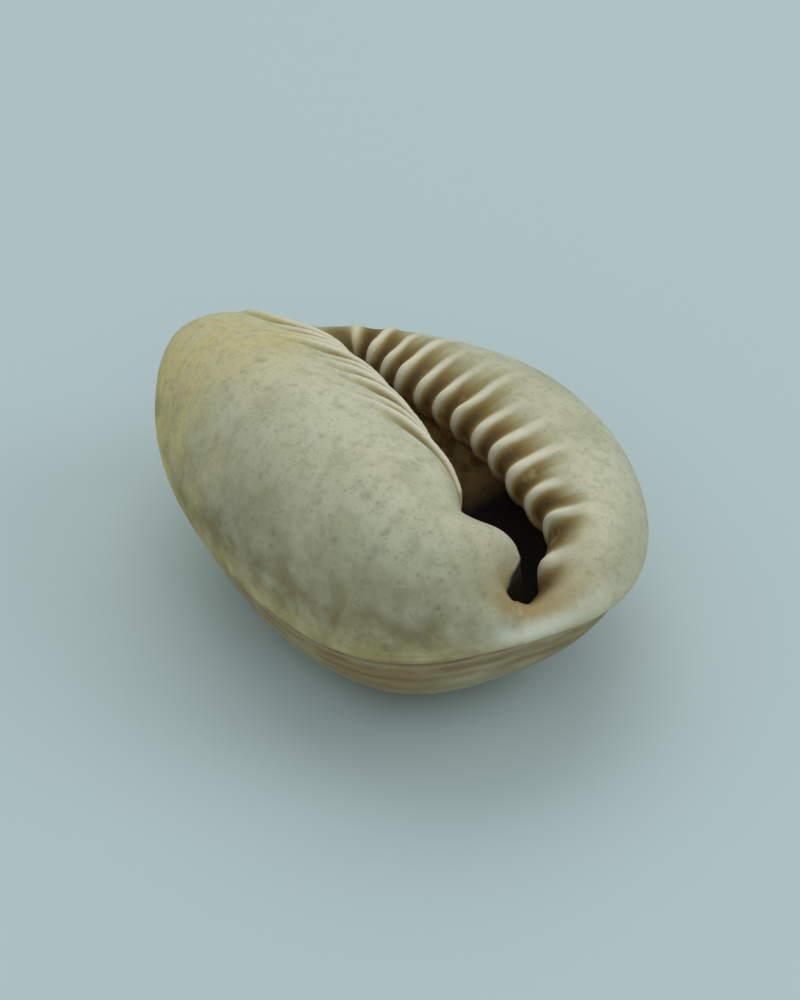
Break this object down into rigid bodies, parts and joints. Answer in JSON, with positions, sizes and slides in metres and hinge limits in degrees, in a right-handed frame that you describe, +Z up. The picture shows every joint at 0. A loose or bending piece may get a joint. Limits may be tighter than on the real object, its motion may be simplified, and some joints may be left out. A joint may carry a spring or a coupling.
{
  "type": "cowrie shell",
  "caption": "Small beach-worn cowrie shell lying on its back, with its toothed slit aperture facing up.",
  "frame": {"origin": "centre of the bounding box's bottom, on the surface that the shell's back rests on", "axes": "+Y along the aperture to the back (spire) end, -Y to the front (canal) end, +X to the outer lip, +Z up out of the aperture"},
  "size_m": [0.0178, 0.025, 0.0132],
  "materials": {
    "shell": "worn satin, cream to grey-beige"
  },
  "bodies": {
    "root": {"cowrie_shell": "shell"}
  },
  "joints": []
}
